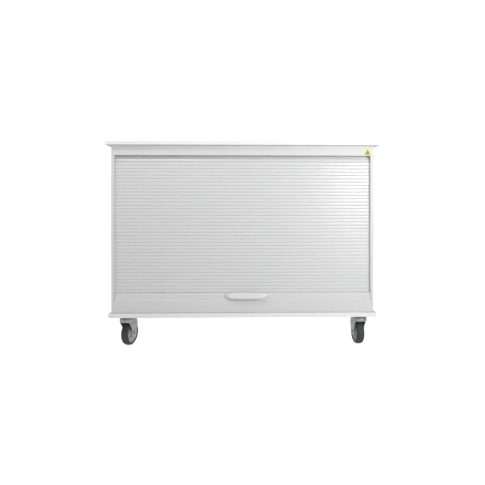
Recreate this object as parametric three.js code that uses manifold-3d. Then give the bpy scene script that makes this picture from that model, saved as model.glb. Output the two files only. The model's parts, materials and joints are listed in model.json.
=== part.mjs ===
// Mobile roll-top desk: a panel carcass on four swivel castors, closed at the front by a
// tambour that runs up in a track, round the front corner and back under the worktop.
// Millimetres, +Z up, front towards -Y, origin on the floor below the middle of the desk.
import * as THREE from "three";
import { mergeVertices } from "three/addons/utils/BufferGeometryUtils.js";
import Module from "manifold-3d";

const wasm = await Module();
wasm.setup();

// ---- driving dimensions -------------------------------------------------------------

const GAP = 0.3; // clearance between pieces that touch

const TOP = { width: 1100, depth: 640, thick: 14 };
const BASE = { width: 1080, depth: 620, thick: 18 };
const BODY = { width: 1060, depth: 600, height: 675 };
const SIDE_THICK = 12;
const BACK_THICK = 10;
const FASCIA = { thick: 14, height: 40 };
const FRONT_RAIL = { thick: 14, height: 47 };
const SHELF = { thick: 16, height: 330, front: -255, back: 288 };
const PIN = { radius: 2.5, length: 15, inset: 45 };
const STICKER = { side: 36, thick: 0.4, x: 506, drop: 29 };

const CASTOR_HEIGHT = 132;
const CASTOR_X = 484;
const CASTOR_SHIFT = 4; // all four castors sit this far right of the desk's middle
const CASTOR_Y = 240;
const WHEEL = { radius: 50, width: 32, rimRadius: 38, segments: 24 };
const TYRE = { sidewall: 41, cornerRadius: 47.5, cornerIn: 3, treadIn: 8, beadIn: 3 };
const HUB = { boss: 13, bossHalf: 18.5, web: 16, webHalf: 6, rimIn: 6, rimThick: 3, rimHalf: 13 };
const TRAIL = 20; // from the swivel axis to the axle
const FORK = { inner: 20, thick: 2.5, crownTop: 120, crownLip: 102, crownRadius: 31, shoulder: 8 };
// The side view of a fork's leg, as [distance behind the swivel axis, height] points: down its
// front edge, round the axle with the radius `end`, and up its rear edge.
const LEG = {
  front: [[-12, 117.5], [-20, 112], [-20, 98], [-7, 84], [0, 66]],
  end: 16,
  rear: [[42, 62], [47, 84], [44, 99], [34, 110], [20, 112], [12, 117.5]],
};
const PLATE = { length: 105, width: 85, thick: 3, raceRadius: 25 };
const AXLE = { radius: 4, headRadius: 7.5, headThick: 4.5 };
const KINGPIN = { radius: 5, headRadius: 10, headThick: 6 };
// Each castor stands at its own angle, as castors do once the desk has been pushed.
const CASTORS = [
  { name: "front_left", x: -1, y: -1, turn: -17 },
  { name: "front_right", x: 1, y: -1, turn: 3 },
  { name: "rear_left", x: -1, y: 1, turn: -7 },
  { name: "rear_right", x: 1, y: 1, turn: 11 },
];

const SLAT = { pitch: 13.6, thick: 5, edge: 4.2, web: 1, groove: 0.5 };
const HINGE_Y = -283.5; // the slats' back faces, on which they fold
const BEND = 15; // degrees between two slats in a corner
const BENDS = 6;
const FRONT_SLATS = 39; // slats between the shutter rail and the front corner when closed
const CHAIN_SLATS = 5; // the slats next to the rail, which stand in the corner when open
const TAIL_SLATS = 6; // the slats that stand in the corner when closed
const SHUTTER_RAIL = { front: -297, back: -283, height: 31 };
const TONGUE = { front: -289, back: -283, reach: 5 }; // how far slats and rail enter the track
const TRACK = { wall: 1, inner: 3.9, depth: 5.6, below: 0.5, rearSlats: 3 };
const HANDLE = { x: 13, width: 168, height: 24, front: -319, wall: 5, web: 6, lip: 2, round: 0.75 };

// ---- derived heights and planes -----------------------------------------------------

const baseTop = CASTOR_HEIGHT + BASE.thick;
const bodyTop = baseTop + BODY.height;
const innerX = BODY.width / 2 - SIDE_THICK;
const frontY = -BODY.depth / 2;
const backY = BODY.depth / 2;
const fasciaBottom = bodyTop - FASCIA.height;
const frontRailTop = baseTop + FRONT_RAIL.height;
const railBottom = frontRailTop + 1;
const firstHinge = railBottom + SHUTTER_RAIL.height;
const cornerStart = firstHinge + FRONT_SLATS * SLAT.pitch;
const trackRadius = SLAT.pitch / 2 / Math.tan(THREE.MathUtils.degToRad(BEND / 2));
const tongueX = innerX + TONGUE.reach;

// The last hinge of a corner lies this far behind, and this far above, the first one.
let cornerReach = 0;
for (let bend = 1; bend < BENDS; bend++) {
  cornerReach += SLAT.pitch * Math.sin(THREE.MathUtils.degToRad(bend * BEND));
}
const ceilingRun = (FRONT_SLATS - CHAIN_SLATS) * SLAT.pitch;
const rearHingeY = HINGE_Y + cornerReach + ceilingRun + cornerReach;

// ---- materials ----------------------------------------------------------------------

function finish(color, roughness, metalness = 0) {
  return new THREE.MeshStandardMaterial({ color, roughness, metalness });
}

const laminate = finish(0xeeeeec, 0.45);
const slatPlastic = finish(0xf0f0ef, 0.35);
const trackPlastic = finish(0xd8d8d6, 0.5);
const zinc = finish(0x9a9a98, 0.4, 0.9);
const hubPlastic = finish(0x87909a, 0.5);
const rubber = finish(0x3a3f44, 0.7);
const stickerYellow = finish(0xf2d21b, 0.4);

// ---- solids -------------------------------------------------------------------------

function solid(geometry) {
  const bare = geometry.clone();
  bare.deleteAttribute("normal");
  bare.deleteAttribute("uv");
  const merged = mergeVertices(bare, 1e-3);
  return new wasm.Manifold(
    new wasm.Mesh({
      numProp: 3,
      vertProperties: merged.attributes.position.array,
      triVerts: new Uint32Array(merged.index.array),
    }),
  );
}

function geometryOf(manifold) {
  const mesh = manifold.getMesh();
  const geometry = new THREE.BufferGeometry();
  geometry.setAttribute("position", new THREE.BufferAttribute(mesh.vertProperties, 3));
  geometry.setIndex(new THREE.BufferAttribute(mesh.triVerts, 1));
  geometry.computeVertexNormals();
  return geometry;
}

function block(x0, x1, y0, y1, z0, z1) {
  const box = new THREE.BoxGeometry(x1 - x0, y1 - y0, z1 - z0);
  return box.translate((x0 + x1) / 2, (y0 + y1) / 2, (z0 + z1) / 2);
}

// An outline of [y, z] points, or a Shape in that plane, extruded along X.
function alongX(outline, x0, x1) {
  const shape = Array.isArray(outline)
    ? new THREE.Shape(outline.map(([y, z]) => new THREE.Vector2(y, z)))
    : outline;
  const geometry = new THREE.ExtrudeGeometry(shape, {
    depth: x1 - x0,
    bevelEnabled: false,
    curveSegments: 8,
  });
  const toWorld = new THREE.Matrix4().makeBasis(
    new THREE.Vector3(0, 1, 0),
    new THREE.Vector3(0, 0, 1),
    new THREE.Vector3(1, 0, 0),
  );
  return geometry.applyMatrix4(toWorld).translate(x0, 0, 0);
}

// A closed profile of [radius, distance along the axis] points, spun round X or Z.
function spun(profile, axis, segments) {
  const closed = [...profile, profile[0]].map(([r, along]) => new THREE.Vector2(r, along));
  const lathe = new THREE.LatheGeometry(closed, segments, Math.PI / segments);
  if (axis === "x") return lathe.rotateZ(-Math.PI / 2);
  return lathe.rotateX(Math.PI / 2);
}

const desk = new THREE.Group();

function place(name, geometry, material, group = desk) {
  const mesh = new THREE.Mesh(geometry, material);
  mesh.name = name;
  group.add(mesh);
  return mesh;
}

// ---- the tambour's path -------------------------------------------------------------

// The unit vectors along a slat and out of its face, for a slat leaning back by `degrees`.
function slatFrame(degrees) {
  const turn = THREE.MathUtils.degToRad(degrees);
  return {
    along: new THREE.Vector2(Math.sin(turn), Math.cos(turn)),
    out: new THREE.Vector2(-Math.cos(turn), Math.sin(turn)),
  };
}

// The outline of a run of slats that starts at `start` and leans by each of `angles` in turn.
// The slats are joined by a thin web on their back faces and open up at the front as they bend.
function slatRun(start, angles) {
  const front = [];
  const back = [];
  const point = (origin, frame, along, out) => {
    const p = origin.clone().addScaledVector(frame.along, along);
    return p.addScaledVector(frame.out, out);
  };
  let hinge = start.clone();
  angles.forEach((angle, i) => {
    const frame = slatFrame(angle);
    const first = i === 0;
    const last = i === angles.length - 1;
    const low = first ? GAP / 2 : SLAT.groove;
    const high = SLAT.pitch - (last ? GAP / 2 : SLAT.groove);
    if (first) back.push(point(hinge, frame, low, 0));
    else if (angle !== angles[i - 1]) back.push(hinge.clone());
    if (!first) front.push(point(hinge, frame, low, SLAT.web));
    front.push(point(hinge, frame, low, SLAT.edge));
    front.push(point(hinge, frame, SLAT.pitch / 2, SLAT.thick));
    front.push(point(hinge, frame, high, SLAT.edge));
    if (!last) front.push(point(hinge, frame, high, SLAT.web));
    if (last) back.push(point(hinge, frame, high, 0));
    hinge = point(hinge, frame, SLAT.pitch, 0);
  });
  // Anticlockwise in the YZ plane: up the back face, then down the front one.
  return [...back, ...front.reverse()].map((p) => [p.x, p.y]);
}

// The track's centre line: up the front, round the corner, back under the top, down the rear.
// Offset by `off` to the outside, and made longer by `extra` at both ends.
function trackLine(off, extra) {
  const steps = 8;
  const centre = SLAT.thick / 2 + off;
  const radius = trackRadius + centre;
  const low = railBottom - TRACK.below - extra;
  const ceiling = cornerStart - SLAT.pitch / 2 + trackRadius;
  const frontArc = HINGE_Y + trackRadius;
  const rearArc = rearHingeY - trackRadius;
  const arcZ = ceiling - trackRadius;
  const points = [[HINGE_Y - centre, low]];
  for (let i = 0; i <= steps; i++) {
    const a = (Math.PI / 2) * (i / steps);
    points.push([frontArc - radius * Math.cos(a), arcZ + radius * Math.sin(a)]);
  }
  for (let i = 0; i <= steps; i++) {
    const a = (Math.PI / 2) * (1 - i / steps);
    points.push([rearArc + radius * Math.cos(a), arcZ + radius * Math.sin(a)]);
  }
  points.push([rearHingeY + centre, arcZ - TRACK.rearSlats * SLAT.pitch - extra]);
  return points;
}

function trackBand(halfWidth, x0, x1, extra = 0) {
  const outside = trackLine(halfWidth, extra);
  const inside = trackLine(-halfWidth, extra);
  return alongX([...inside, ...outside.reverse()], x0, x1);
}

// ---- carcass ------------------------------------------------------------------------

function carcass() {
  const halfTop = [TOP.width / 2, TOP.depth / 2];
  place(
    "top_board",
    block(-halfTop[0], halfTop[0], -halfTop[1], halfTop[1], bodyTop, bodyTop + TOP.thick),
    laminate,
  );
  const halfBase = [BASE.width / 2, BASE.depth / 2];
  place(
    "base_board",
    block(-halfBase[0], halfBase[0], -halfBase[1], halfBase[1], CASTOR_HEIGHT, baseTop),
    laminate,
  );
  const halfBody = BODY.width / 2;
  place(
    "fascia",
    block(-halfBody, halfBody, frontY, frontY + FASCIA.thick, fasciaBottom, bodyTop - GAP),
    laminate,
  );
  place(
    "front_rail",
    block(-halfBody, halfBody, frontY, frontY + FRONT_RAIL.thick, baseTop + GAP, frontRailTop),
    laminate,
  );
  const backX = innerX - GAP;
  place(
    "back_panel",
    block(-backX, backX, backY - BACK_THICK, backY, baseTop + GAP, bodyTop - GAP),
    laminate,
  );
  for (const [side, sign] of [["left", -1], ["right", 1]]) sidePanel(side, sign);
}

// A side panel is notched for the fascia and the front rail and grooved for its guide track.
function sidePanel(side, sign) {
  const notch = frontY + FASCIA.thick + GAP;
  const outline = [
    [frontY, frontRailTop + GAP],
    [notch, frontRailTop + GAP],
    [notch, baseTop + GAP],
    [backY, baseTop + GAP],
    [backY, bodyTop - GAP],
    [notch, bodyTop - GAP],
    [notch, fasciaBottom - GAP],
    [frontY, fasciaBottom - GAP],
  ];
  const grooveHalf = TRACK.inner + TRACK.wall + GAP;
  const grooveEnd = innerX + TRACK.depth + TRACK.wall + 2 * GAP;
  const panel = solid(alongX(outline, innerX, BODY.width / 2));
  const groove = solid(trackBand(grooveHalf, innerX - 1, grooveEnd, GAP));
  placeSide("side_panel_" + side, panel.subtract(groove), laminate, sign);

  const linerEnd = innerX + TRACK.depth + TRACK.wall;
  const liner = solid(trackBand(TRACK.inner + TRACK.wall, innerX + GAP, linerEnd));
  const channel = solid(trackBand(TRACK.inner, innerX - 1, innerX + TRACK.depth, 5));
  placeSide("guide_track_" + side, liner.subtract(channel), trackPlastic, sign);
}

// Places a solid made for the right-hand side, mirrored in X for the left-hand side.
function placeSide(name, made, material, sign) {
  const copy = sign > 0 ? made : made.mirror([1, 0, 0]);
  return place(name, geometryOf(copy), material);
}

function shelfOnPins() {
  const half = innerX - 1;
  const z = baseTop + SHELF.height;
  place("shelf", block(-half, half, SHELF.front, SHELF.back, z, z + SHELF.thick), laminate);
  const pinZ = z - GAP - PIN.radius;
  const rows = [["front", SHELF.front + PIN.inset], ["rear", SHELF.back - PIN.inset]];
  for (const [side, sign] of [["left", -1], ["right", 1]]) {
    for (const [row, y] of rows) {
      const pin = new THREE.CylinderGeometry(PIN.radius, PIN.radius, PIN.length, 12);
      const x = sign * (innerX - GAP - PIN.length / 2);
      pin.rotateZ(Math.PI / 2).translate(x, y, pinZ);
      place(`shelf_pin_${row}_${side}`, pin, zinc);
    }
  }
}

// A plain triangle stuck on the right-hand end of the fascia.
function sticker() {
  const height = (STICKER.side * Math.sqrt(3)) / 2;
  const corners = [
    [-STICKER.side / 2, -height / 3],
    [STICKER.side / 2, -height / 3],
    [0, (2 * height) / 3],
  ];
  const shape = new THREE.Shape(corners.map(([x, z]) => new THREE.Vector2(x, z)));
  const film = new THREE.ExtrudeGeometry(shape, { depth: STICKER.thick, bevelEnabled: false });
  film.rotateX(Math.PI / 2).translate(STICKER.x, frontY - GAP, bodyTop - STICKER.drop);
  place("sticker", film, stickerYellow);
}

// ---- tambour ------------------------------------------------------------------------

function tambour() {
  const half = innerX - 1;
  const body = solid(
    block(-half, half, SHUTTER_RAIL.front, SHUTTER_RAIL.back, railBottom, firstHinge - GAP / 2),
  );
  const tongues = solid(
    block(-tongueX, tongueX, TONGUE.front, TONGUE.back, railBottom, firstHinge - GAP / 2),
  );
  place("shutter_rail", geometryOf(body.add(tongues)), slatPlastic);

  for (let i = 0; i < CHAIN_SLATS; i++) {
    const hinge = new THREE.Vector2(HINGE_Y, firstHinge + i * SLAT.pitch);
    place(`slat_${i + 1}`, alongX(slatRun(hinge, [0]), -tongueX, tongueX), slatPlastic);
  }

  const curtainStart = new THREE.Vector2(HINGE_Y, firstHinge + CHAIN_SLATS * SLAT.pitch);
  const upright = Array(FRONT_SLATS - CHAIN_SLATS).fill(0);
  const tail = Array.from({ length: TAIL_SLATS }, (_, i) => (i + 1) * BEND);
  const outline = slatRun(curtainStart, [...upright, ...tail]);
  place("curtain", alongX(outline, -tongueX, tongueX), slatPlastic);
}

// A bow-shaped pull: straight along the top, curved below, hollow behind for the fingers.
function handle() {
  const { height, round } = HANDLE;
  const half = HANDLE.width / 2;
  const bow = new THREE.Shape();
  bow.moveTo(-half, 0);
  bow.bezierCurveTo(-half, -height * round, -half * round, -height, 0, -height);
  bow.bezierCurveTo(half * round, -height, half, -height * round, half, 0);
  bow.closePath();
  const back = SHUTTER_RAIL.front - GAP;
  const extrude = (front, rear, drop) => {
    const options = { depth: rear - front, bevelEnabled: false, curveSegments: 10 };
    const geometry = new THREE.ExtrudeGeometry(bow, options);
    return geometry.rotateX(Math.PI / 2).translate(HANDLE.x, rear, firstHinge + HANDLE.lip - drop);
  };
  const pull = solid(extrude(HANDLE.front, back, 0));
  const fingers = solid(extrude(HANDLE.front + HANDLE.wall, back + 1, HANDLE.web));
  place("handle", geometryOf(pull.subtract(fingers)), slatPlastic);
}

// ---- castors ------------------------------------------------------------------------

function castorPlate(x, y, name) {
  const half = [PLATE.width / 2, PLATE.length / 2];
  const top = CASTOR_HEIGHT - GAP;
  const flange = solid(block(-half[0], half[0], -half[1], half[1], top - PLATE.thick, top));
  const race = [
    [0, top - 1],
    [0, FORK.crownTop + GAP],
    [PLATE.raceRadius, FORK.crownTop + GAP],
    [PLATE.raceRadius, top - 1],
  ];
  const bore = new THREE.CylinderGeometry(KINGPIN.radius + GAP, KINGPIN.radius + GAP, 60, 24);
  const drill = solid(bore.rotateX(Math.PI / 2).translate(0, 0, top));
  const plate = flange.add(solid(spun(race, "z", 24))).subtract(drill);
  place(name + "_plate", geometryOf(plate), zinc).position.set(x, y, 0);

  const pinTop = top - GAP;
  const headTop = FORK.crownTop - FORK.thick - GAP;
  const pin = [
    [0, pinTop],
    [0, headTop - KINGPIN.headThick],
    [KINGPIN.headRadius, headTop - KINGPIN.headThick],
    [KINGPIN.headRadius, headTop],
    [KINGPIN.radius, headTop],
    [KINGPIN.radius, pinTop],
  ];
  place(name + "_kingpin", spun(pin, "z", 16), zinc).position.set(x, y, 0);
}

// The fork is a pressed cup, open below, with two legs that lean back to the axle.
function forkSolid() {
  const { crownTop: top, crownRadius: radius, shoulder } = FORK;
  const crown = [
    [KINGPIN.radius + GAP, top],
    [KINGPIN.radius + GAP, top - FORK.thick],
    [radius - shoulder, top - FORK.thick],
    [radius - FORK.thick, top - shoulder - FORK.thick / 2],
    [radius - FORK.thick, FORK.crownLip],
    [radius, FORK.crownLip],
    [radius, top - shoulder],
    [radius - shoulder, top],
  ];
  let fork = solid(spun(crown, "z", 24));
  const leg = new THREE.Shape(LEG.front.map(([y, z]) => new THREE.Vector2(y, z)));
  leg.absarc(TRAIL, WHEEL.radius, LEG.end, Math.PI, 2 * Math.PI, false);
  for (const [y, z] of LEG.rear) leg.lineTo(y, z);
  leg.closePath();
  for (const inner of [-FORK.inner - FORK.thick, FORK.inner]) {
    fork = fork.add(solid(alongX(leg, inner, inner + FORK.thick)));
  }
  const holeRadius = AXLE.radius + GAP;
  const hole = new THREE.CylinderGeometry(holeRadius, holeRadius, 100, 16);
  return fork.subtract(solid(hole.rotateZ(Math.PI / 2).translate(0, TRAIL, WHEEL.radius)));
}

function wheelProfiles() {
  const facet = 1 / Math.cos(Math.PI / WHEEL.segments);
  const half = WHEEL.width / 2;
  const outer = WHEEL.radius * facet;
  const bead = WHEEL.rimRadius + GAP;
  const tyre = [
    [bead, -half + TYRE.beadIn],
    [TYRE.sidewall * facet, -half],
    [TYRE.cornerRadius * facet, -half + TYRE.cornerIn],
    [outer, -half + TYRE.treadIn],
    [outer, half - TYRE.treadIn],
    [TYRE.cornerRadius * facet, half - TYRE.cornerIn],
    [TYRE.sidewall * facet, half],
    [bead, half - TYRE.beadIn],
  ];
  const bore = AXLE.radius + GAP;
  const rim = WHEEL.rimRadius;
  const side = [
    [bore, HUB.bossHalf],
    [HUB.boss, HUB.bossHalf],
    [HUB.web, HUB.webHalf],
    [rim - HUB.rimIn, HUB.webHalf],
    [rim - HUB.rimThick, HUB.rimHalf],
    [rim, HUB.rimHalf],
  ];
  const hub = [...side.map(([r, along]) => [r, -along]), ...side.reverse()];
  return { tyre, hub };
}

function axleProfile() {
  const legOut = FORK.inner + FORK.thick + GAP;
  const end = legOut + AXLE.headThick;
  return [
    [0, -end],
    [AXLE.headRadius, -end],
    [AXLE.headRadius, -legOut],
    [AXLE.radius, -legOut],
    [AXLE.radius, legOut],
    [AXLE.headRadius, legOut],
    [AXLE.headRadius, end],
    [0, end],
  ];
}

function castor({ name, x, y, turn }) {
  const title = "castor_" + name;
  const across = CASTOR_SHIFT + x * CASTOR_X;
  castorPlate(across, y * CASTOR_Y, title);
  const swivel = new THREE.Group();
  swivel.position.set(across, y * CASTOR_Y, 0);
  swivel.rotation.z = THREE.MathUtils.degToRad(turn);
  desk.add(swivel);
  place(title + "_fork", geometryOf(forkSolid()), zinc, swivel);

  const wheel = new THREE.Group();
  wheel.position.set(0, TRAIL, WHEEL.radius);
  swivel.add(wheel);
  const { tyre, hub } = wheelProfiles();
  place(title + "_axle", spun(axleProfile(), "x", 16), zinc, wheel);
  place(title + "_hub", spun(hub, "x", WHEEL.segments), hubPlastic, wheel);
  place(title + "_tyre", spun(tyre, "x", WHEEL.segments), rubber, wheel);
}

// ---- assembly -----------------------------------------------------------------------

carcass();
shelfOnPins();
sticker();
tambour();
handle();
CASTORS.forEach(castor);

export default desk;
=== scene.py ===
# Looks of the mobile roll-top desk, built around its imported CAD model.
# Metres, +Z up, front towards -Y. Every size comes from the frame or from the values below.
import json
import math

import bmesh
import bpy
from mathutils import Matrix, Vector


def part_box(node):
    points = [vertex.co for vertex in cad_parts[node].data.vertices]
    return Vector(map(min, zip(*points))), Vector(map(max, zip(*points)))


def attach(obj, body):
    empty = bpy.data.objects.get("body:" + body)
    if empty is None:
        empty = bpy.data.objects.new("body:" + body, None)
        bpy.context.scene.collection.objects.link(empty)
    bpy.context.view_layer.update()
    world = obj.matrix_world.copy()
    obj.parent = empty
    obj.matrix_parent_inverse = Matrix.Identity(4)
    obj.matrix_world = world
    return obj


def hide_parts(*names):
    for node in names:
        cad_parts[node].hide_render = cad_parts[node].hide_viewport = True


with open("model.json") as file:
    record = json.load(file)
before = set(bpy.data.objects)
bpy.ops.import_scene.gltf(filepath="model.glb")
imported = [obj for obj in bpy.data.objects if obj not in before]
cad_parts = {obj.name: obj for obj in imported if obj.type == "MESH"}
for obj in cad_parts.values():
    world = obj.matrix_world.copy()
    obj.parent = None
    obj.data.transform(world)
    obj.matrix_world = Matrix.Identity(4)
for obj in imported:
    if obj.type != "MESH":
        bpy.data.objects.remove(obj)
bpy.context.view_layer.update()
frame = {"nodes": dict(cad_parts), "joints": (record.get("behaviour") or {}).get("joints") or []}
JOINTS = {joint["name"]: joint for joint in frame["joints"]}
MM = 0.001

# ---- driving values -----------------------------------------------------------------

EYE = Vector((-0.042, -2.10, 0.578))
YAW = math.radians(-1.25)
FOCAL, SENSOR = 33.07, 36  # mm
SHIFT_Y = -0.074

EDGE_BAND = 1.6 * MM  # thickness of the plastic band on a board's edges
BOARD_EDGE = 1.0 * MM  # radius of the eased edges
BOARD_CORNER = 2.5 * MM  # radius of a board's corners

SLAT_PITCH = 13.6 * MM
SLAT_THICK = 5.0 * MM
SLAT_WEB = 0.9 * MM  # what is left of a slat's thickness at its hinge line
BEND = math.radians(15)  # from each slat to the next, round a corner
FRONT_SLATS = 39
CHAIN_SLATS = 5  # the lowest ones, each a body of its own
TAIL_SLATS = 6
TRACK_OUTSIDE, TRACK_INSIDE = 4.9 * MM, 3.9 * MM  # each side of the slats' middle line

TRAIL = 20 * MM  # from a castor's swivel axis back to its axle
SHEET = 2.5 * MM  # thickness of a fork's pressed steel
FLANGE = 3 * MM  # thickness of a castor's top plate
RACE_RADIUS = 25 * MM
CROWN_RADIUS, CROWN_DEPTH = 31 * MM, 18 * MM
FORK_INSIDE = 20 * MM  # from the wheel's middle to a leg
AXLE_LENGTH = 54.5 * MM
WHEEL_RADIUS, WHEEL_WIDTH, RIM_RADIUS = 50 * MM, 32 * MM, 38 * MM

# The strength of the soft light all round, from below and from above.
SKY_LOW, SKY_HIGH = 0.68, 0.30
# Each lamp's place, target, size and energy.
LAMPS = {
    "key": ((0.98, -1.5, 0.80), (0.42, 0, 0.75), (0.7, 0.6), 9.9),
    "front": ((-0.65, -1.15, 1.65), (-0.3, -0.3, 0.75), (1.0, 0.3), 5.5),
    "ledges": ((0.3, -0.65, 2.3), (0.3, -0.35, 0.15), (1.6, 0.4), 3),
    "above": ((0.0, 0.8, 2.4), (0, 0.2, 0.8), (1.6, 1.2), 3),
    "back": ((-1.6, 2.8, 2.2), (0, 0, 0.5), (2.0, 1.6), 20),
    "side": ((3.0, 0.8, 1.8), (0, 0, 0.5), (1.6, 1.6), 8),
}

# ---- materials ----------------------------------------------------------------------

NOISE_ROUGHNESS = 0.55


class Finish:
    """A procedural material built round one Principled shader, in the piece's own space."""

    def __init__(self, name, color, roughness, metallic=0.0, coat=0.0):
        self.material = bpy.data.materials.new(name)
        self.material.use_nodes = True
        self.tree = self.material.node_tree
        self.shader = self.tree.nodes["Principled BSDF"]
        self.color = color
        self.set("Base Color", (*color, 1.0))
        self.set("Roughness", roughness)
        self.set("Metallic", metallic)
        self.set("Coat Weight", coat)
        self.coords = self.tree.nodes.new("ShaderNodeTexCoord").outputs["Object"]
        self.height = None

    def set(self, socket, value):
        self.shader.inputs[socket].default_value = value

    def node(self, kind, **values):
        made = self.tree.nodes.new(kind)
        for key, value in values.items():
            setattr(made, key, value)
        return made

    def link(self, source, target):
        self.tree.links.new(source, target)

    def stretched(self, x, y, z):
        """The piece's own coordinates, scaled unevenly so that a noise turns into streaks."""
        mapping = self.node("ShaderNodeMapping")
        mapping.inputs["Scale"].default_value = (x, y, z)
        self.link(self.coords, mapping.inputs["Vector"])
        return mapping.outputs["Vector"]

    def noise(self, scale, detail, vector=None):
        made = self.node("ShaderNodeTexNoise")
        made.inputs["Scale"].default_value = scale
        made.inputs["Detail"].default_value = detail
        made.inputs["Roughness"].default_value = NOISE_ROUGHNESS
        self.link(vector or self.coords, made.inputs["Vector"])
        return made.outputs["Fac"]

    def cells(self, scale):
        made = self.node("ShaderNodeTexVoronoi")
        made.inputs["Scale"].default_value = scale
        self.link(self.coords, made.inputs["Vector"])
        return made.outputs["Color"]

    def attribute(self, name):
        return self.node("ShaderNodeAttribute", attribute_name=name).outputs["Fac"]

    def remap(self, source, low, high, from_low=0.3, from_high=0.7):
        """Runs from low to high while the source runs from from_low to from_high."""
        made = self.node("ShaderNodeMapRange")
        made.inputs["From Min"].default_value = from_low
        made.inputs["From Max"].default_value = from_high
        made.inputs["To Min"].default_value = low
        made.inputs["To Max"].default_value = high
        self.link(source, made.inputs["Value"])
        return made.outputs["Result"]

    def product(self, first, second):
        made = self.node("ShaderNodeMath", operation="MULTIPLY")
        self.link(first, made.inputs[0])
        self.link(second, made.inputs[1])
        return made.outputs["Value"]

    def mix(self, factor, first, second):
        made = self.node("ShaderNodeMix", data_type="RGBA")
        colors = [socket for socket in made.inputs if socket.type == "RGBA"]
        for socket, value in zip(colors, (first, second)):
            if isinstance(value, tuple):
                socket.default_value = (*value, 1.0)
            else:
                self.link(value, socket)
        self.link(factor, made.inputs["Factor"])
        return [out for out in made.outputs if out.type == "RGBA"][0]

    def paint(self, factor, other):
        """Mixes the colour so far towards `other`, fully where the factor is 1."""
        base = self.shader.inputs["Base Color"]
        before = base.links[0].from_socket if base.is_linked else self.color
        self.link(self.mix(factor, before, other), base)

    def gloss(self, source, low, high):
        self.link(self.remap(source, low, high), self.shader.inputs["Roughness"])

    def relief(self, source, distance, strength):
        """Adds a bump to those already made."""
        bump = self.node("ShaderNodeBump")
        bump.inputs["Strength"].default_value = strength
        bump.inputs["Distance"].default_value = distance
        self.link(source, bump.inputs["Height"])
        if self.height is not None:
            self.link(self.height, bump.inputs["Normal"])
        self.height = bump.outputs["Normal"]
        self.link(self.height, self.shader.inputs["Normal"])


def laminate_finish(name, band_highlight=False):
    """White melamine with a fine pearl texture, scuffed along its edges, which may be painted
    whiter: a whiter band and a painted highlight.
    """
    made = Finish(name, (0.76, 0.76, 0.755), 0.50)
    made.set("Specular IOR Level", 0.35)
    made.paint(made.remap(made.noise(3.5, 4), 0.0, 0.5), (0.73, 0.735, 0.74))
    if band_highlight:
        normal = made.node("ShaderNodeTexCoord").outputs["Normal"]
        split = made.node("ShaderNodeSeparateXYZ")
        made.link(normal, split.inputs["Vector"])
        upright = made.node("ShaderNodeMath", operation="ABSOLUTE")
        made.link(split.outputs["Z"], upright.inputs[0])
        # painted highlight: faces turned sideways (the edge faces) are painted whiter, for a
        # whiter edge band and the light that catches it
        made.paint(made.remap(upright.outputs["Value"], 1.0, 0.0, 0.3, 0.6), (0.93, 0.93, 0.925))
    patches = made.remap(made.noise(60, 5), 0.0, 0.55, 0.45, 0.75)
    made.paint(made.product(made.attribute("wear"), patches), (0.63, 0.625, 0.61))
    made.gloss(made.noise(45, 4), 0.46, 0.58)
    made.relief(made.noise(1400, 2), 0.05 * MM, 0.35)
    made.relief(made.noise(9, 2), 0.3 * MM, 0.12)
    return made.material


def slat_finish():
    """White extruded plastic: faint streaks along the extrusion, dust in the hinge lines."""
    made = Finish("tambour_plastic", (0.77, 0.77, 0.77), 0.30, coat=0.15)
    made.set("Coat Roughness", 0.18)
    along = made.stretched(0.6, 60, 60)
    made.paint(made.remap(made.noise(6, 4, vector=along), 0.0, 0.6), (0.745, 0.75, 0.755))
    dust = made.remap(made.noise(14, 4), 0.35, 0.8)
    made.paint(made.product(made.attribute("wear"), dust), (0.58, 0.58, 0.57))
    made.gloss(made.noise(20, 3, vector=along), 0.25, 0.38)
    made.relief(made.noise(30, 3, vector=along), 0.03 * MM, 0.12)
    return made.material


def moulded_finish():
    """A whiter moulded plastic with a fine sparked texture."""
    made = Finish("handle_plastic", (0.83, 0.83, 0.825), 0.36, coat=0.1)
    made.paint(made.remap(made.noise(40, 3), 0.0, 0.5), (0.79, 0.795, 0.80))
    made.gloss(made.noise(90, 3), 0.30, 0.44)
    made.relief(made.noise(1500, 2), 0.03 * MM, 0.4)
    return made.material


def track_finish():
    made = Finish("track_plastic", (0.76, 0.76, 0.75), 0.45)
    made.paint(made.remap(made.noise(25, 4), 0.0, 0.7), (0.68, 0.68, 0.665))
    made.gloss(made.noise(80, 3), 0.35, 0.55)
    made.relief(made.noise(700, 2), 0.05 * MM, 0.3)
    return made.material


def zinc_finish():
    """Zinc-plated pressed steel, with a faint spangle, rubbed brighter and dirtier in places."""
    made = Finish("zinc", (0.50, 0.50, 0.485), 0.38, metallic=0.85)
    spangle = made.cells(240)
    made.paint(made.remap(spangle, 0.0, 0.45, 0.0, 1.0), (0.60, 0.60, 0.58))
    made.paint(made.remap(made.noise(55, 5), 0.0, 0.6, 0.45, 0.75), (0.33, 0.33, 0.31))
    made.gloss(made.noise(120, 4), 0.28, 0.52)
    made.relief(made.noise(420, 3), 0.06 * MM, 0.5)
    return made.material


def rubber_finish():
    """Dark grey rubber, with floor dust on the tread."""
    made = Finish("tyre_rubber", (0.030, 0.036, 0.042), 0.62)
    made.paint(made.remap(made.noise(70, 5), 0.0, 0.65), (0.048, 0.054, 0.060))
    dust = made.remap(made.noise(160, 5), 0.0, 0.8, 0.4, 0.7)
    made.paint(made.product(made.attribute("wear"), dust), (0.10, 0.103, 0.105))
    made.gloss(made.noise(140, 4), 0.5, 0.78)
    made.relief(made.noise(900, 3), 0.08 * MM, 0.6)
    return made.material


def hub_finish():
    made = Finish("hub_plastic", (0.52, 0.59, 0.64), 0.42)
    made.paint(made.remap(made.noise(60, 4), 0.0, 0.6), (0.43, 0.49, 0.54))
    made.gloss(made.noise(200, 3), 0.38, 0.55)
    made.relief(made.noise(1100, 2), 0.05 * MM, 0.45)
    return made.material


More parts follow.
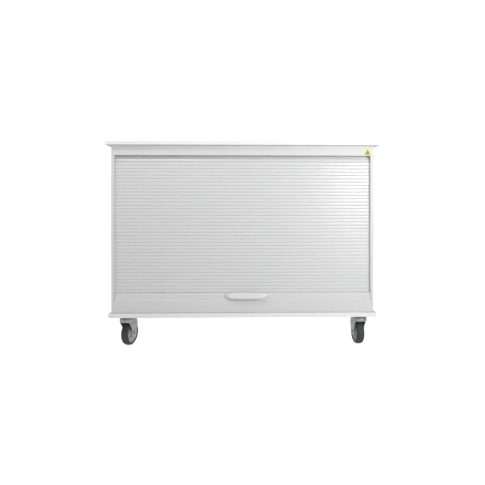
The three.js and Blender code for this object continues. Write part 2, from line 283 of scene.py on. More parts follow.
def vinyl_finish(name, color):
    made = Finish(name, color, 0.32)
    darkest = 0.86
    darker = tuple(darkest * c for c in color)
    made.paint(made.remap(made.noise(300, 4), 0.0, 0.5), darker)
    made.gloss(made.noise(500, 3), 0.26, 0.42)
    return made.material


def floor_finish():
    """Plain white floor, bright enough of itself that only a faint shadow shows on it."""
    made = Finish("floor", (0.80, 0.80, 0.80), 0.6)
    made.paint(made.remap(made.noise(1.5, 3), 0.0, 0.5), (0.78, 0.78, 0.78))
    made.set("Emission Color", (1, 1, 1, 1))
    made.set("Emission Strength", 0.75)
    return made.material


def backdrop_finish():
    """Pure white of its own light, with nothing reflected."""
    material = bpy.data.materials.new("backdrop")
    material.use_nodes = True
    shader = material.node_tree.nodes["Principled BSDF"]
    shader.inputs["Base Color"].default_value = (0, 0, 0, 1)
    shader.inputs["Specular IOR Level"].default_value = 0.0
    shader.inputs["Emission Color"].default_value = (1, 1, 1, 1)
    shader.inputs["Emission Strength"].default_value = 1.05
    return material


LAMINATE = laminate_finish("laminate")
LAMINATE_BAND_HIGHLIGHT = laminate_finish("laminate_band_and_painted_highlight", band_highlight=True)
SLATS = slat_finish()
MOULDED = moulded_finish()
TRACKS = track_finish()
ZINC = zinc_finish()
RUBBER = rubber_finish()
HUB = hub_finish()
YELLOW = vinyl_finish("sticker_yellow", (0.78, 0.72, 0.10))
OLIVE = vinyl_finish("sticker_olive", (0.20, 0.19, 0.02))

# ---- shells: (vertices, faces, wear of each vertex) ---------------------------------


def joined(*shells):
    """One shell made of several that stay separate bodies."""
    vertices, faces, wear = [], [], []
    for points, polygons, marks in shells:
        first = len(vertices)
        vertices += points
        faces += [[first + i for i in face] for face in polygons]
        wear += marks
    return vertices, faces, wear


def moved(shell, matrix):
    points, polygons, marks = shell
    return [matrix @ Vector(p) for p in points], polygons, marks


def loft(loops, closed=False):
    """A skin over loops of equally many (point, wear) pairs, capped unless it is closed."""
    count = len(loops[0])
    vertices = [point for loop in loops for point, _ in loop]
    wear = [mark for loop in loops for _, mark in loop]
    faces = []
    spans = len(loops) if closed else len(loops) - 1
    for row in range(spans):
        low, high = row * count, ((row + 1) % len(loops)) * count
        for i in range(count):
            j = (i + 1) % count
            faces.append([low + i, low + j, high + j, high + i])
    if not closed:
        faces.append(list(range(count))[::-1])
        last = (len(loops) - 1) * count
        faces.append([last + i for i in range(count)])
    return vertices, faces, wear


def lathe(profile, segments, closed=True):
    """Spins (radius, height, wear) points round Z. An open profile starts and ends on the axis."""
    ring = [2 * math.pi * i / segments for i in range(segments)]
    smallest = 1e-6
    loops = []
    for radius, height, mark in profile:
        radius = max(radius, smallest)
        points = [(radius * math.cos(a), radius * math.sin(a), height) for a in ring]
        loops.append([(p, mark) for p in points])
    return loft(loops, closed=closed)


def unworn(*points):
    """Profile points (radius, height) with no wear on them."""
    return [(radius, height, 0.0) for radius, height in points]


def extruded(outline, x0, x1):
    """An outline of (y, z) points, extruded along X."""
    return loft([[((x, y, z), 0.0) for y, z in outline] for x in (x0, x1)])


def plate(outline, thick, edge=0.0, steps=2):
    """An outline of (x, y) points, extruded along Z from 0 to thick, with rounded edges."""
    sharpest_smooth = math.radians(35)
    mesh = bmesh.new()
    corners = [mesh.verts.new((x, y, 0)) for x, y in outline]
    face = mesh.faces.new(corners)
    lifted = bmesh.ops.extrude_face_region(mesh, geom=[face])["geom"]
    top = [item for item in lifted if isinstance(item, bmesh.types.BMVert)]
    bmesh.ops.translate(mesh, vec=(0, 0, thick), verts=top)
    bmesh.ops.recalc_face_normals(mesh, faces=mesh.faces)
    if edge:
        sharp = [e for e in mesh.edges if e.calc_face_angle(0) > sharpest_smooth]
        bmesh.ops.bevel(
            mesh, geom=sharp, offset=edge, segments=steps, profile=0.5,
            affect="EDGES", clamp_overlap=True,
        )
    mesh.verts.index_update()
    points = [vertex.co.copy() for vertex in mesh.verts]
    faces = [[vertex.index for vertex in f.verts] for f in mesh.faces]
    mesh.free()
    return points, faces, [0.0] * len(points)


def piece(name, shell, finish, body, replaces=(), crease=32):
    """A mesh object of that shell, riding on a CAD body, smooth up to `crease` degrees."""
    points, polygons, marks = shell
    mesh = bpy.data.meshes.new(name)
    mesh.from_pydata([tuple(p) for p in points], [], polygons)
    fixed = bmesh.new()
    fixed.from_mesh(mesh)
    bmesh.ops.recalc_face_normals(fixed, faces=fixed.faces)
    fixed.to_mesh(mesh)
    fixed.free()
    if any(marks):
        layer = mesh.attributes.new("wear", "FLOAT", "POINT")
        layer.data.foreach_set("value", marks)
    mesh.shade_smooth()
    mesh.set_sharp_from_angle(angle=math.radians(crease))
    mesh.materials.append(finish)
    made = bpy.data.objects.new(name, mesh)
    bpy.context.scene.collection.objects.link(made)
    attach(made, body)
    if replaces:
        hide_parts(*replaces)


def circle(radius, count, centre=(0.0, 0.0), start=0.0, sweep=2 * math.pi):
    """Points round a circle, or along part of it from the angle `start`."""
    steps = count if sweep == 2 * math.pi else count - 1
    points = []
    for i in range(count):
        a = start + sweep * i / steps
        points.append((centre[0] + radius * math.cos(a), centre[1] + radius * math.sin(a)))
    return points


def rectangle(half_u, half_v):
    return [(-half_u, -half_v), (half_u, -half_v), (half_u, half_v), (-half_u, half_v)]


def round_corners(corners, radius, steps):
    """A polygon of (x, y) corners with each corner rounded by an arc."""
    outline = []
    for i, corner in enumerate(corners):
        here = Vector(corner)
        before = (Vector(corners[i - 1]) - here).normalized()
        after = (Vector(corners[(i + 1) % len(corners)]) - here).normalized()
        half = before.angle(after) / 2
        reach = radius / math.tan(half)
        middle = here + (before + after).normalized() * (radius / math.sin(half))
        first = here + before * reach - middle
        last = here + after * reach - middle
        turn = first.angle_signed(last)
        for k in range(steps + 1):
            spoke = first.copy()
            spoke.rotate(Matrix.Rotation(-turn * k / steps, 2))
            outline.append(tuple(middle + spoke))
    return outline


# ---- boards -------------------------------------------------------------------------


def board_shell(low, high, normal):
    """A board with rounded corners, eased edges and a fine line round its edge banding."""
    others = [axis for axis in range(3) if axis != normal]
    middle = (low + high) / 2
    half = (high - low) / 2
    thick = 2 * half[normal]
    line, depth = 0.30 * MM, 0.10 * MM
    face_wear, edge_wear = 9 * MM, 1.5 * MM  # how far the scuffs reach in from the edge
    least_radius = 0.2 * MM
    edge_steps = 3

    def loop(inset, height, mark):
        radius = max(BOARD_CORNER - inset, least_radius)
        corners = rectangle(*[half[axis] - inset for axis in others])
        points = []
        for u, v in round_corners(corners, radius, 4):
            place = middle.copy()
            place[others[0]] += u
            place[others[1]] += v
            place[normal] = low[normal] + height
            points.append((place, mark))
        return points

    rows = [
        (face_wear, 0, 0.0), (EDGE_BAND + line, 0, 0.2), (EDGE_BAND + line / 2, depth, 0.8),
        (EDGE_BAND, 0, 0.3),
    ]
    for k in range(edge_steps + 1):
        a = math.pi / 2 * k / edge_steps
        rows.append((BOARD_EDGE * (1 - math.sin(a)), BOARD_EDGE * (1 - math.cos(a)), 0.45))
    rows.append((0, BOARD_EDGE + edge_wear, 0.1))
    mirrored = [(inset, thick - height, mark) for inset, height, mark in reversed(rows)]
    return loft([loop(*row) for row in rows + mirrored])


def boards():
    panel_edge = 0.8 * MM
    normals = {
        "top_board": 2, "base_board": 2, "shelf": 2,
        "back_panel": 1, "fascia": 1, "front_rail": 1,
    }
    for node, normal in normals.items():
        low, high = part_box(node)
        # the top and the base get their edge faces painted whiter: edge band and painted highlight
        finish = LAMINATE_BAND_HIGHLIGHT if node in ("top_board", "base_board") else LAMINATE
        piece(node + "_board", board_shell(low, high, normal), finish, "root",
              replaces=[node])
    for node in ("side_panel_left", "side_panel_right"):
        soften(frame["nodes"][node], LAMINATE, panel_edge)


def soften(node, finish, width):
    """A CAD node keeps its shape and gets eased edges and a material."""
    same_point = 0.01 * MM
    least_angle = math.radians(40)
    weld = node.modifiers.new("weld", "WELD")
    weld.merge_threshold = same_point
    bevel = node.modifiers.new("bevel", "BEVEL")
    bevel.width = width
    bevel.segments = 2
    bevel.limit_method = "ANGLE"
    bevel.angle_limit = least_angle
    bevel.harden_normals = True
    node.data.materials.clear()
    node.data.materials.append(finish)


# ---- tambour ------------------------------------------------------------------------

_, HINGE_Y, FIRST_HINGE = JOINTS["slat_1_turn"]["pos_m"]
SLAT_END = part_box("curtain")[1].x
SLAT_CREASE = 50  # degrees, the sharpest edge that is shaded smooth

# One slat's section: distance along it from its lower hinge, height of its face, dust.
HALF_SLAT = [
    (0.0, SLAT_WEB, 1.0),
    (0.15 * MM, SLAT_WEB, 1.0),
    (0.18 * MM, 2.6 * MM, 0.7),
    (0.28 * MM, 4.0 * MM, 0.35),
    (0.60 * MM, 4.5 * MM, 0.1),
    (1.20 * MM, 4.72 * MM, 0.0),
    (3.00 * MM, 4.88 * MM, 0.0),
]


def slat_section():
    mirrored = [(SLAT_PITCH - s, t, dust) for s, t, dust in reversed(HALF_SLAT)]
    return HALF_SLAT + [(SLAT_PITCH / 2, SLAT_THICK, 0.0)] + mirrored


def slat_run(start, leans):
    """Slats joined by a thin web on their backs, each leaning back by the angle given."""
    clearance = 0.03 * MM  # between this run and the slat below it
    rows = []
    hinge = Vector(start)
    for number, lean in enumerate(leans):
        along = Vector((math.sin(lean), math.cos(lean)))
        out = Vector((-math.cos(lean), math.sin(lean)))
        section = slat_section()
        if number:
            section = section[1:]
        for s, t, dust in section:
            inset = clearance if (s, number) == (0.0, 0) else 0.0
            back = hinge + along * (s + inset)
            rows.append((back + out * t, back, dust))
        hinge = hinge + along * SLAT_PITCH
    # each loop is a front and a back point at both ends of the slat
    loops = []
    for front, back, dust in rows:
        ends = ((-SLAT_END, front), (SLAT_END, front), (SLAT_END, back), (-SLAT_END, back))
        loops.append([((x, y, z), dust) for x, (y, z) in ends])
    return loft(loops)


def tambour():
    for number in range(CHAIN_SLATS):
        start = (HINGE_Y, FIRST_HINGE + number * SLAT_PITCH)
        name = f"slat_{number + 1}"
        piece(name + "_extrusion", slat_run(start, [0.0]), SLATS, name,
              replaces=[name], crease=SLAT_CREASE)
    start = (HINGE_Y, FIRST_HINGE + CHAIN_SLATS * SLAT_PITCH)
    upright = [0.0] * (FRONT_SLATS - CHAIN_SLATS)
    tail = [BEND * (i + 1) for i in range(TAIL_SLATS)]
    piece("curtain_extrusion", slat_run(start, upright + tail), SLATS, "curtain",
          replaces=["curtain"], crease=SLAT_CREASE)


def shutter_rail():
    """The rail that ends the tambour: an eased bar, a tongue in each track and a lip below."""
    low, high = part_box("shutter_rail")
    front, back, top = low.y, high.y, high.z
    bottom = low.z + 1.5 * MM
    body_half = high.x - 6 * MM
    slope_back, slope_down = 4 * MM, 2.5 * MM  # of the upper front edge
    tongue = 6 * MM
    corners = [(front, bottom), (back, bottom), (back, top), (front + slope_back, top),
               (front, top - slope_down)]
    body = extruded(round_corners(corners, 1.2 * MM, 4), -body_half, body_half)
    tongue_corners = [(back - tongue, bottom), (back, bottom), (back, top), (back - tongue, top)]
    tongues = extruded(round_corners(tongue_corners, 0.8 * MM, 3), low.x, high.x)
    piece("shutter_rail_bar", joined(body, tongues), SLATS, "shutter",
          replaces=["shutter_rail"])

    # the lip slopes out and almost closes the gap to the rail below
    tip = low.z - 0.8 * MM
    reach = 2.6 * MM
    root = bottom + 1 * MM  # inside the bar
    lip = [(front - reach, tip), (back - 3 * MM, tip), (back - 2 * MM, root),
           (front + 0.2 * MM, root)]
    piece("shutter_rail_seal", extruded(round_corners(lip, 0.4 * MM, 3), -body_half, body_half),
          MOULDED, "shutter")


def handle():
    """A bow-shaped pull: a ledge on top, a crowned lip that leans out below it, hollow behind."""
    low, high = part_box("handle")
    middle, half = (high.x + low.x) / 2, (high.x - low.x) / 2
    back, top, height, depth = high.y, high.z, high.z - low.z, high.y - low.y
    spine = 0.46 * height  # how far below the top the two ends lie
    wall, web = 4.5 * MM, 5.5 * MM  # thickness of the lip and of the ledge
    fillet = 0.5 * MM
    columns = 72
    loops = []
    for column in range(columns + 1):
        u = -math.cos(math.pi * column / columns)  # -1 at one end, 1 at the other
        blunt = max((1 - abs(u) ** 14) ** 0.5, 0.05)
        crest = top - spine + (spine - 0.22 * height * abs(u) ** 6) * blunt
        foot = top - spine - (height * (1 - 0.38 * abs(u) ** 3.5) - spine) * blunt
        drop = crest - foot
        reach = depth * (1 - 0.5 * abs(u) ** 8)
        under = crest - min(web, 0.5 * drop)
        lip = min(wall, 0.3 * reach)
        face = back - reach
        corners = [
            (back, crest), (face + 0.26 * reach, crest), (face, foot + 0.22 * drop),
            (face + 0.4 * lip, foot), (face + 1.2 * lip, foot),
            (face + 1.2 * lip + fillet, under), (back, under),
        ]
        outline = round_corners(corners, min(1.3 * MM, 0.12 * drop), 3)
        loops.append([((middle + u * half, y, z), 0.0) for y, z in outline])
    piece("handle_pull", loft(loops), MOULDED, "shutter", replaces=["handle"],
          crease=45)


# ---- guide tracks -------------------------------------------------------------------


def track_line(offset):
    """A line in (y, z) that lies `offset` outside the slats' middle: front, top and rear."""
    low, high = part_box("guide_track_right")
    radius = SLAT_PITCH / 2 / math.tan(BEND / 2)  # of the hinge line in the corners
    hinge_depth = TRACK_OUTSIDE + SLAT_THICK / 2
    front, rear = low.y + hinge_depth, high.y - hinge_depth
    corner_z = FIRST_HINGE + (FRONT_SLATS - 0.5) * SLAT_PITCH
    rear_end = corner_z - 3 * SLAT_PITCH
    reach = radius + SLAT_THICK / 2 + offset
    steps = 24
    points = [(front + radius - reach, low.z)]
    for centre, start, end in ((front + radius, 180, 90), (rear - radius, 90, 0)):
        for k in range(steps + 1):
            a = math.radians(start + (end - start) * k / steps)
            points.append((centre + reach * math.cos(a), corner_z + reach * math.sin(a)))
    points.append((rear - radius + reach, rear_end))
    return points


def guide_tracks():
    """Channels let into the side panels, open towards the inside."""
    low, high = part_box("guide_track_right")
    offsets = (-TRACK_OUTSIDE, -TRACK_INSIDE, TRACK_INSIDE, TRACK_OUTSIDE)
    lines = [track_line(offset) for offset in offsets]
    mouth, outside = low.x, high.x
    floor = outside - (TRACK_OUTSIDE - TRACK_INSIDE)
    for side, sign in (("left", -1), ("right", 1)):
        loops = []
        for inner_wall, inner, outer, outer_wall in zip(*lines):
            section = [
                (mouth, inner_wall), (mouth, inner), (floor, inner), (floor, outer),
                (mouth, outer), (mouth, outer_wall), (outside, outer_wall), (outside, inner_wall),
            ]
            loops.append([((sign * x, y, z), 0.0) for x, (y, z) in section])
        piece("guide_track_channel_" + side, loft(loops), TRACKS, "root",
              replaces=["guide_track_" + side])


# ---- small pieces -------------------------------------------------------------------


def sticker():
    """A plain yellow triangle with a small dark one in its middle, and nothing else on it."""
    low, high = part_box("sticker")
    centre_x, centre_z = (low.x + high.x) / 2, low.z + (high.z - low.z) / 3
    film = 0.12 * MM
    behind = 0.28 * MM  # the film starts this far behind the fascia's face

    def triangle(scale, radius):
        side = (high.x - low.x) / 2 * scale
        rise = (high.z - low.z) * scale
        corners = [(-side, -rise / 3), (side, -rise / 3), (0, 2 * rise / 3)]
        return round_corners(corners, radius, 6)

    layers = [
        ("sticker_film", 1.0, 2.2 * MM, YELLOW, ["sticker"]),
        ("sticker_centre", 0.62, 1.0 * MM, OLIVE, []),
    ]
    upright = Matrix.Rotation(math.pi / 2, 4, "X")
    for number, (name, scale, radius, finish, stands_for) in enumerate(layers):
        place = Matrix.Translation((centre_x, high.y + behind - number * film, centre_z))
        shell = moved(plate(triangle(scale, radius), film), place @ upright)
        piece(name, shell, finish, "root", replaces=stands_for)


def shelf_pins():
    """A turned peg in the side panel with a collar in its middle, under the shelf."""
    chamfer = 0.5 * MM
    for row in ("front", "rear"):
        for side, sign in (("left", -1), ("right", 1)):
            node = f"shelf_pin_{row}_{side}"
            low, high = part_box(node)
            radius, length = (high.z - low.z) / 2, high.x - low.x
            collar, near, far = 1.5 * radius, 0.45 * length, 0.55 * length
            profile = unworn(
                (0, 0), (radius - chamfer, 0), (radius, chamfer), (radius, near),
                (collar, near), (collar, far), (radius, far), (radius, length - chamfer),
                (radius - chamfer, length), (0, length),
            )
            start = low.x if sign > 0 else high.x
            lowered = (low.z + high.z) / 2 - 0.5 * radius  # the collar ends at the shelf
            place = Matrix.Translation((start, (low.y + high.y) / 2, lowered))
            turn = Matrix.Rotation(sign * math.pi / 2, 4, "Y")
            shell = moved(lathe(profile, 32, closed=False), place @ turn)
            piece(node + "_peg", shell, ZINC, "root", replaces=[node])


def screw_shell(radius, height):
    """A pan head with a cross recess, pointing along +Z, its seat at 0."""
    count = 48
    arm_width, arm_reach = 0.17, 0.46  # of the recess, as shares of the head's radius
    profile = [(1.0, 0.0), (1.0, 0.35), (0.93, 0.62), (0.75, 0.86), (0.5, 0.97)]
    loops = []
    for share, rise in profile:
        ring = circle(radius * share, count)
        loops.append([((x, y, height * rise), 0.0) for x, y in ring])
    cross = []
    for x, y in circle(1.0, count):
        major, minor = max(abs(x), abs(y)), min(abs(x), abs(y))
        width = arm_width / max(minor, arm_width / arm_reach)
        reach = radius * width * (0.9 + 0.1 * major)
        cross.append((reach * x, reach * y))
    loops.append([((x, y, height), 0.0) for x, y in cross])
    loops.append([((0.8 * x, 0.8 * y, height * 0.35), 1.0) for x, y in cross])
    return loft(loops)


def back_screws():
    """Screws that hold the back panel, each turned a little differently."""
    low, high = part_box("back_panel")
    inset = 9 * MM
    head_radius, head_height = 3.6 * MM, 0.9 * MM
    columns, rows = 5, 4  # spaces between the screws
    left, right, bottom, top = low.x + inset, high.x - inset, low.z + inset, high.z - inset
    across = [left + (right - left) * k / columns for k in range(columns + 1)]
    upward = [bottom + (top - bottom) * k / rows for k in range(1, rows)]
    spots = [(x, z) for z in (bottom, top) for x in across]
    spots += [(x, z) for x in (left, right) for z in upward]
    facing = Matrix.Rotation(-math.pi / 2, 4, "X")
    heads = []
    for number, (x, z) in enumerate(spots):
        turn = Matrix.Rotation(number * 0.7, 4, "Z")
        place = Matrix.Translation((x, high.y, z)) @ facing @ turn
        heads.append(moved(screw_shell(head_radius, head_height), place))
    piece("back_panel_screws", joined(*heads), ZINC, "root")


# ---- castors ------------------------------------------------------------------------


def arc(centre_r, centre_h, radius, start, end, steps, mark=0.0):
    """Points of an arc in a lathe profile, from one angle to another, in degrees."""
    points = []
    for k in range(steps + 1):
        a = math.radians(start + (end - start) * k / steps)
        points.append((centre_r + radius * math.cos(a), centre_h + radius * math.sin(a), mark))
    return points


def crown_shell(top):
    """The pressed cup of the fork, open below, rounded over its shoulder."""
    shoulder, lip_edge, bore = 9 * MM, 0.6 * MM, 5.3 * MM
    lip = top - CROWN_DEPTH
    outer, inner = CROWN_RADIUS, CROWN_RADIUS - SHEET
    middle = (outer - shoulder, top - shoulder)
    profile = unworn((bore, top - SHEET), (bore, top))
    profile += arc(*middle, shoulder, 90, 0, 8)
    profile += unworn((outer, lip + lip_edge), (outer - lip_edge, lip), (inner + 0.4 * MM, lip),
                      (inner, lip + lip_edge))
    profile += arc(*middle, shoulder - SHEET, 0, 90, 8)
    return lathe(profile, 72)


def smoothed(corners):
    """A closed line of points with its corners cut back, more finely each time."""
    cuts, share = 2, 0.2  # the share is cut from both ends of each side
    for _ in range(cuts):
        cut = []
        for i, corner in enumerate(corners):
            here, there = Vector(corner), Vector(corners[(i + 1) % len(corners)])
            cut += [tuple(here.lerp(there, share)), tuple(here.lerp(there, 1 - share))]
        corners = cut
    return corners


def leg_outline(top, axle_z):
    """The side view of a fork leg in (y, z): wide under the crown, narrow round the axle."""
    eye = 17 * MM  # radius round the axle
    # millimetres behind the swivel axis and above the leg's top
    front = [(-12, 0), (-21, -6), (-21, -20), (-7, -34), (-0.5, -52)]
    rear = [(42, -55), (48, -34), (45, -18), (35, -7), (20, -5), (12, 0)]
    outline = [(y * MM, top + z * MM) for y, z in front]
    outline += circle(eye, 11, (TRAIL, axle_z), math.pi, math.pi)
    outline += [(y * MM, top + z * MM) for y, z in rear]
    return smoothed(outline)


def leg_shell(start, top, axle_z):
    """A leg of sheet from X = `start` to the right, with a pressed rib on its outer face."""
    to_side = Matrix(((0, 0, 1, start), (1, 0, 0, 0), (0, 1, 0, 0), (0, 0, 0, 1)))
    flat = plate(leg_outline(top, axle_z), SHEET, 0.6 * MM)
    rib_top, rib_end = top - 22 * MM, axle_z + 15 * MM
    rib_line = [(-8 * MM, rib_top), (34 * MM, rib_top), (TRAIL + 8 * MM, rib_end),
                (TRAIL - 8 * MM, rib_end)]
    rib_thick, proud = 1.8 * MM, 1.2 * MM
    rib = plate(round_corners(rib_line, 4 * MM, 5), rib_thick, 0.8 * MM, 3)
    rib_start = SHEET + proud - rib_thick if start > 0 else -proud
    to_rib = to_side @ Matrix.Translation((0, 0, rib_start))
    return joined(moved(flat, to_side), moved(rib, to_rib))


def fork_shell(top, axle_z):
    """Crown, lower race and two legs, standing at the swivel axis with the wheel behind it."""
    leg_top = top - 2 * MM
    legs = [leg_shell(start, leg_top, axle_z) for start in (FORK_INSIDE, -FORK_INSIDE - SHEET)]
    race_middle, race_round = (24.7 * MM, top - 1.3 * MM), 1.2 * MM
    race_profile = unworn((26 * MM, top - 2.4 * MM))
    race_profile += arc(*race_middle, race_round, -60, 120, 6)
    return joined(crown_shell(top), lathe(race_profile, 72), *legs)


def hexagon(across_flats, turn=0.0):
    return circle(across_flats / math.sqrt(3), 6, start=turn)


def washer_shell(bore, radius, thick):
    return lathe(unworn((bore, 0), (radius, 0), (radius, thick), (bore, thick)), 32)


def axle_shell():
    """A bolt along X through both legs: hex head and washer at one end, lock nut at the other."""
    half = AXLE_LENGTH / 2
    radius, across_flats, edge = 4 * MM, 12.6 * MM, 0.5 * MM
    head, nut_thick = 3.2 * MM, 2.8 * MM
    washer_thick = 0.9 * MM
    ring, ring_thick, ring_edge = 4.9 * MM, 1.4 * MM, 0.4 * MM  # the nut's locking ring
    seat = half - head - 1 * MM
    shaft = lathe(unworn((0, -half), (radius, -half), (radius, half), (0, half)), 32, False)
    washer = washer_shell(4.1 * MM, 7.3 * MM, washer_thick)
    locking = lathe(unworn((0, 0), (ring, 0), (ring, ring_thick - ring_edge),
                           (ring - 0.5 * MM, ring_thick), (0, ring_thick)), 32, False)

    def along(shell, height):
        return moved(shell, Matrix.Translation((0, 0, height)))

    parts = [
        moved(shaft, Matrix.Scale(0.97, 4)),  # a little short of the head and the nut
        along(washer, seat),
        along(plate(hexagon(across_flats), head, edge), seat + washer_thick),
        along(washer, -seat - washer_thick),
        along(plate(hexagon(across_flats, 0.3), nut_thick, edge), -half + 1.2 * MM),
        along(locking, -half),
    ]
    return moved(joined(*parts), Matrix.Rotation(math.pi / 2, 4, "Y"))


def tyre_shell():
    """A crowned tread with round shoulders and a fine moulding line round its middle."""
    half = WHEEL_WIDTH / 2
    shoulder = 9.5 * MM
    bead = RIM_RADIUS + 0.2 * MM
    edge = WHEEL_RADIUS - 0.7 * MM
    worn = 1.0
    side = unworn((bead, -half + 3 * MM), (bead + 2 * MM, -half + 0.6 * MM))
    side += arc(edge - shoulder, -half + shoulder, shoulder, -90, -8, 9, 0.6)
    side += [(WHEEL_RADIUS - 0.2 * MM, -3 * MM, worn), (WHEEL_RADIUS, -0.6 * MM, worn)]
    line = [(WHEEL_RADIUS - 0.25 * MM, 0, worn)]
    return lathe(side + line + other_side(side), 96)


def other_side(profile):
    """The same profile points mirrored in height, in the opposite order."""
    return [(radius, -height, mark) for radius, height, mark in reversed(profile)]


def hub_shell():
    """A moulded wheel centre: rim, dished web with ribs, boss and bearing cup."""
    rim, bore, boss = RIM_RADIUS, 4.6 * MM, 13 * MM
    boss_half, rim_half, web_half = 18.3 * MM, 12.8 * MM, 5.5 * MM
    step = 0.8 * MM  # the bearing cup stands this far out of the boss
    side = unworn(
        (bore, boss_half), (boss - 4 * MM, boss_half), (boss - 3.5 * MM, boss_half - step),
        (boss - 0.6 * MM, boss_half - step), (boss, boss_half - 2 * step),
        (boss + 1.5 * MM, 8 * MM), (boss + 4 * MM, web_half), (rim - 8 * MM, web_half),
        (rim - 5 * MM, 7 * MM), (rim - 3.2 * MM, rim_half - 0.7 * MM),
        (rim - 2.5 * MM, rim_half), (rim - 0.6 * MM, rim_half), (rim, rim_half - 0.6 * MM),
    )
    rib_count, rib_half, rib_width = 8, 0.9 * MM, 21 * MM
    reach = rim - 4.5 * MM - boss
    outline = [(0, -rib_half), (reach, -rib_half), (reach, rib_half), (0, rib_half)]
    rib = plate(outline, rib_width, 0.4 * MM)
    ribs = []
    for number in range(rib_count):
        turn = Matrix.Rotation(2 * math.pi * number / rib_count, 4, "Z")
        ribs.append(moved(rib, turn @ Matrix.Translation((boss, 0, -rib_width / 2))))
    return joined(lathe(side + other_side(side), 72), *ribs)


def flange_corners(low, high):
    return rectangle((high.x - low.x) / 2, (high.y - low.y) / 2)


def top_plate_shell(low, high):
    """The flange under the base board, with the upper race below it."""
    under = high.z - FLANGE
    flange = plate(round_corners(flange_corners(low, high), 8 * MM, 6), FLANGE, 0.6 * MM)
    bore, foot = 8 * MM, low.z + 0.3 * MM
    race = lathe(unworn(
        (bore, under), (RACE_RADIUS, under), (RACE_RADIUS, low.z + 3.5 * MM),
        (RACE_RADIUS - 1 * MM, low.z + 1.6 * MM), (RACE_RADIUS - 3.5 * MM, foot), (bore, foot),
    ), 72)
    return joined(moved(flange, Matrix.Translation((0, 0, under))), race)


def castor_screws(low, high):
    """A screw with a washer in each corner of the flange, pointing down."""
    inset, washer_thick = 11 * MM, 1 * MM
    down = Matrix.Rotation(math.pi, 4, "X")
    washer = washer_shell(2 * MM, 6.2 * MM, washer_thick)
    head = screw_shell(4.2 * MM, 2.6 * MM)
    parts = []
    for number, (x, y) in enumerate(flange_corners(low, high)):
        spot = (x - math.copysign(inset, x), y - math.copysign(inset, y), high.z - FLANGE)
        place = Matrix.Translation(spot) @ down
        cross = Matrix.Rotation(0.5 + number, 4, "Z")
        parts.append(moved(washer, place))
        parts.append(moved(head, place @ Matrix.Translation((0, 0, washer_thick)) @ cross))
    return joined(*parts)


def kingpin_shell(low, high, crown_top):
    """A rivet with a domed head inside the fork's crown."""
    shaft, head = 5 * MM, (high.x - low.x) / 2
    head_top = crown_top - SHEET - 0.3 * MM
    profile = unworn(
        (0, low.z), (0.6 * head, low.z + 0.5 * MM), (0.9 * head, low.z + 2 * MM),
        (head, low.z + 3.5 * MM), (head, head_top), (shaft, head_top), (shaft, high.z),
        (0, high.z),
    )
    return lathe(profile, 48, False)


def castor(name):
    """One castor, at the place and the angle that its joints give it."""
    title = "castor_" + name
    swivel = JOINTS["swivel_" + name]["pos_m"]
    wheel = JOINTS["wheel_" + name]
    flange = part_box(title + "_plate")
    crown_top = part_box(title + "_fork")[1].z
    fork_body, wheel_body = title + "_fork", title + "_wheel"

    # the flange is fixed, the fork and the axle turn with the swivel
    turn = Matrix.Rotation(math.atan2(wheel["axis"][1], wheel["axis"][0]), 4, "Z")
    spot = Matrix.Translation((swivel[0], swivel[1], 0))
    at_axle = Matrix.Translation(wheel["pos_m"]) @ turn
    kingpin = kingpin_shell(*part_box(title + "_kingpin"), crown_top)
    fork = fork_shell(crown_top, wheel["pos_m"][2])
    steel_parts = [
        ("_top_plate", top_plate_shell(*flange), spot, "root", "_plate"),
        ("_screws", castor_screws(*flange), spot, "root", None),
        ("_kingpin_rivet", kingpin, spot, "root", "_kingpin"),
        ("_fork_pressing", fork, spot @ turn, fork_body, "_fork"),
        ("_axle_bolt", axle_shell(), at_axle, fork_body, "_axle"),
    ]
    for part, shell, place, body, node in steel_parts:
        stands_for = [title + node] if node else []
        piece(title + part, moved(shell, place), ZINC, body, replaces=stands_for)

    along_axle = at_axle @ Matrix.Rotation(math.pi / 2, 4, "Y")
    piece(title + "_wheel_tyre", moved(tyre_shell(), along_axle), RUBBER, wheel_body,
          replaces=[title + "_tyre"], crease=40)
    piece(title + "_wheel_centre", moved(hub_shell(), along_axle), HUB, wheel_body,
          replaces=[title + "_hub"])


# ---- studio -------------------------------------------------------------------------


def softbox(name, place, target, size, energy):
    light = bpy.data.lights.new(name, "AREA")
    light.shape = "RECTANGLE"
    light.size, light.size_y = size
    light.energy = energy
    lamp = bpy.data.objects.new(name, light)
    bpy.context.scene.collection.objects.link(lamp)
    lamp.location = place
    lamp.visible_camera = False
    aim = Vector(target) - Vector(place)
    lamp.rotation_euler = aim.to_track_quat("-Z", "Y").to_euler()


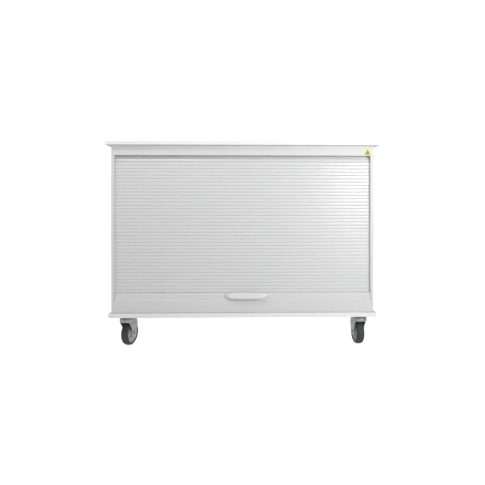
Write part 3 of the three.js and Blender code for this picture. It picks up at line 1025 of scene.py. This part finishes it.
def soft_sky():
    """Soft light from all round, of one strength from below and another from above."""
    lowest, highest = -0.4, 0.6  # the heights between which the strength changes
    world = bpy.data.worlds.new("studio")
    world.use_nodes = True
    tree = world.node_tree
    background = tree.nodes["Background"]
    background.inputs["Color"].default_value = (1, 1, 1, 1)
    direction = tree.nodes.new("ShaderNodeTexCoord").outputs["Generated"]
    split = tree.nodes.new("ShaderNodeSeparateXYZ")
    tree.links.new(direction, split.inputs["Vector"])
    ramp = tree.nodes.new("ShaderNodeMapRange")
    ramp.inputs["From Min"].default_value = lowest
    ramp.inputs["From Max"].default_value = highest
    ramp.inputs["To Min"].default_value = SKY_LOW
    ramp.inputs["To Max"].default_value = SKY_HIGH
    tree.links.new(split.outputs["Z"], ramp.inputs["Value"])
    tree.links.new(ramp.outputs["Result"], background.inputs["Strength"])
    bpy.context.scene.world = world


def stage_piece(name, build, finish):
    """A piece of the surroundings that the camera sees, but that lights and shades nothing."""
    mesh = bpy.data.meshes.new(name)
    made = bmesh.new()
    build(made)
    made.to_mesh(mesh)
    made.free()
    mesh.materials.append(finish)
    thing = bpy.data.objects.new(name, mesh)
    bpy.context.scene.collection.objects.link(thing)
    thing.visible_diffuse = False
    thing.visible_glossy = False
    thing.visible_transmission = False
    thing.visible_shadow = False


def studio():
    floor_size, backdrop_radius = 20, 26

    def floor(made):
        bmesh.ops.create_grid(made, size=floor_size)

    def backdrop(made):
        bmesh.ops.create_icosphere(made, subdivisions=4, radius=backdrop_radius)

    bpy.context.scene.view_settings.view_transform = "Standard"
    soft_sky()
    stage_piece("floor", floor, floor_finish())
    stage_piece("backdrop", backdrop, backdrop_finish())
    for name, (place, target, size, energy) in LAMPS.items():
        softbox(name, place, target, size, energy)


def camera():
    lens = bpy.data.cameras.new("camera")
    lens.lens = FOCAL
    lens.sensor_width = SENSOR
    lens.shift_y = SHIFT_Y
    eye = bpy.data.objects.new("camera", lens)
    bpy.context.scene.collection.objects.link(eye)
    eye.location = EYE
    eye.rotation_euler = (math.pi / 2, 0, YAW)
    bpy.context.scene.camera = eye


camera()
boards()
tambour()
shutter_rail()
handle()
guide_tracks()
sticker()
shelf_pins()
back_screws()
for corner in ("front_left", "front_right", "rear_left", "rear_right"):
    castor(corner)
studio()
